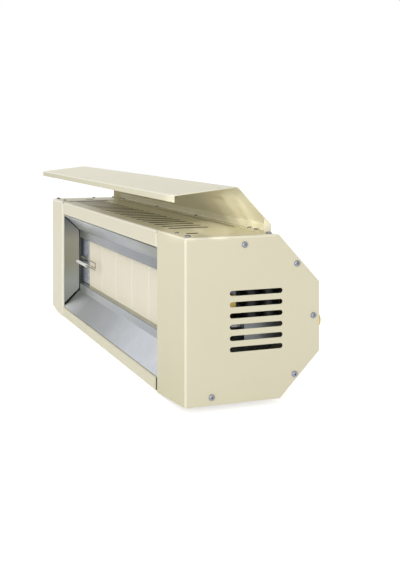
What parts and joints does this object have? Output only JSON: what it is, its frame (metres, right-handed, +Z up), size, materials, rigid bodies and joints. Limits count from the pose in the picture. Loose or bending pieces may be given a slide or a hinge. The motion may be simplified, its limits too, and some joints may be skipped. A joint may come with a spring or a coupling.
{
  "type": "gas ceramic radiant heater",
  "caption": "Gas-fired ceramic radiant heater: long folded sheet housing, flared reflector mouth over perforated ceramic plaques, screwed end covers, raised folded hood.",
  "frame": {"origin": "centre of the bounding box's footprint, at the height of the bottom panel's underside", "axes": "+X along the heater to the right when facing the mouth, -Y the way the mouth looks, +Z up"},
  "size_m": [0.819, 0.2406, 0.2969],
  "materials": {
    "cream_paint": "satin",
    "bright_sheet": "bright rolled",
    "galvanised": "galvanised",
    "plaque_ceramic": "matt, perforated",
    "cement": "matt",
    "fibre": "matt fibre felt",
    "white_ceramic": "glazed",
    "brass": "machined",
    "pipe": "drawn tube",
    "valve_alloy": "die-cast",
    "coil_resin": "moulded",
    "black_plastic": "moulded",
    "plunger_steel": "turned",
    "spring_steel": "drawn wire",
    "heat_wire": "drawn wire",
    "lead_rubber": "silicone sleeve",
    "screw_zinc": "bright zinc"
  },
  "bodies": {
    "heater_body": {"casing": "cream_paint", "bottom_panel": "cream_paint", "right_end_cover": "cream_paint", "left_end_cover": "cream_paint", "right_bulkhead": "cream_paint", "left_bulkhead": "cream_paint", "hood": "cream_paint", "top_reflector": "bright_sheet", "bottom_reflector": "bright_sheet", "left_reflector": "bright_sheet", "right_reflector": "bright_sheet", "heat_shield": "bright_sheet", "mixing_tube": "bright_sheet", "left_burner_bracket": "galvanised", "right_burner_bracket": "galvanised", "plenum": "galvanised", "injector_bracket": "galvanised", "valve_bracket": "galvanised", "electrode_bracket": "galvanised", "plaque_1": "plaque_ceramic", "plaque_2": "plaque_ceramic", "plaque_3": "plaque_ceramic", "plaque_4": "plaque_ceramic", "plaque_5": "plaque_ceramic", "plaque_cement": "cement", "plaque_gasket": "fibre", "electrode_ceramic": "white_ceramic", "terminal_block": "white_ceramic", "injector": "brass", "injector_holder": "brass", "gas_inlet": "brass", "inlet_nut": "brass", "outlet_pipe": "pipe", "inlet_pipe": "pipe", "gas_valve_body": "valve_alloy", "coil_1": "coil_resin", "coil_2": "coil_resin", "ignition_box": "black_plastic", "cable_gland": "black_plastic", "gland_nut": "black_plastic", "return_spring_1": "spring_steel", "return_spring_2": "spring_steel", "electrode_wire": "heat_wire", "earth_loop": "heat_wire", "ignition_lead": "lead_rubber", "valve_harness": "lead_rubber", "side_screws": "screw_zinc", "top_screws": "screw_zinc", "hood_screws": "screw_zinc", "back_screws": "screw_zinc"},
    "plunger_1": {"plunger_1": "plunger_steel"},
    "plunger_2": {"plunger_2": "plunger_steel"}
  },
  "joints": [
    {"name": "plunger_1_lift", "type": "slide", "parent": "heater_body", "child": "plunger_1", "axis": [0, 0, 1], "range_m": [0, 0.0025], "stiffness_N_per_m": 200, "springref_m": -0.003, "deforming": ["return_spring_1"]},
    {"name": "plunger_2_lift", "type": "slide", "parent": "heater_body", "child": "plunger_2", "axis": [0, 0, 1], "range_m": [0, 0.0025], "stiffness_N_per_m": 200, "springref_m": -0.003, "deforming": ["return_spring_2"]}
  ]
}
